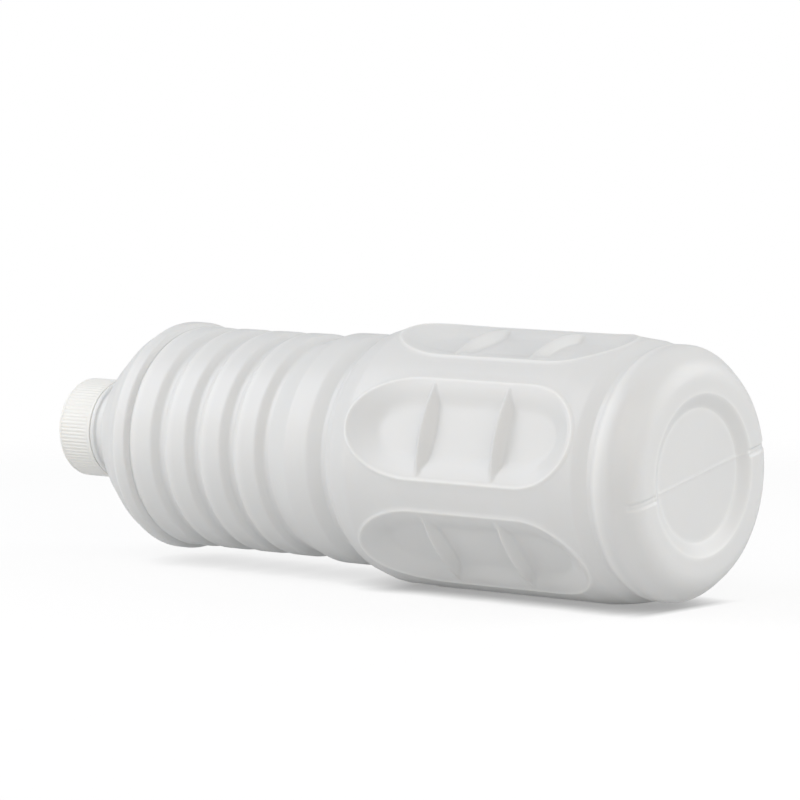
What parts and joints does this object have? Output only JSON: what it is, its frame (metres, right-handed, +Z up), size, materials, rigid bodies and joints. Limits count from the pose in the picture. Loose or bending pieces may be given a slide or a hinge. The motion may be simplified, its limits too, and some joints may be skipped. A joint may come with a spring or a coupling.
{
  "type": "screw-cap plastic bottle",
  "caption": "Slim translucent round bottle with a ringed column, six dished grip panels with cross ribs, a pushed-up base and a ribbed screw cap with a sealing liner.",
  "frame": {"origin": "centre of the foot ring on the standing plane", "axes": "+Z up the bottle's axis from the base to the cap; the mould's parting plane is XZ, so the pinch-off line of the base lies along X"},
  "size_m": [0.086, 0.0858, 0.2638],
  "materials": {
    "bottle_hdpe": "translucent natural white blow-moulded HDPE, satin",
    "cap_plastic": "opaque white injection-moulded polypropylene, satin",
    "liner_foam": "expanded polyethylene foam, matte"
  },
  "bodies": {
    "bottle": {"bottle": "bottle_hdpe"},
    "liner": {"cap_liner": "liner_foam"},
    "cap": {"screw_cap": "cap_plastic"}
  },
  "joints": [
    {"name": "cap_lift", "type": "slide", "parent": "bottle", "child": "liner", "axis": [0, 0, 1], "range_m": [0, 0.0149]},
    {"name": "cap_turn", "type": "hinge", "parent": "liner", "child": "cap", "pos_m": [0, 0, 0.2495], "axis": [0, 0, 1], "range_deg": [0, 1260]}
  ],
  "couplings": [
    {"joint": "cap_lift", "follows": "cap_turn", "m_per_rad": 0.00067323}
  ]
}
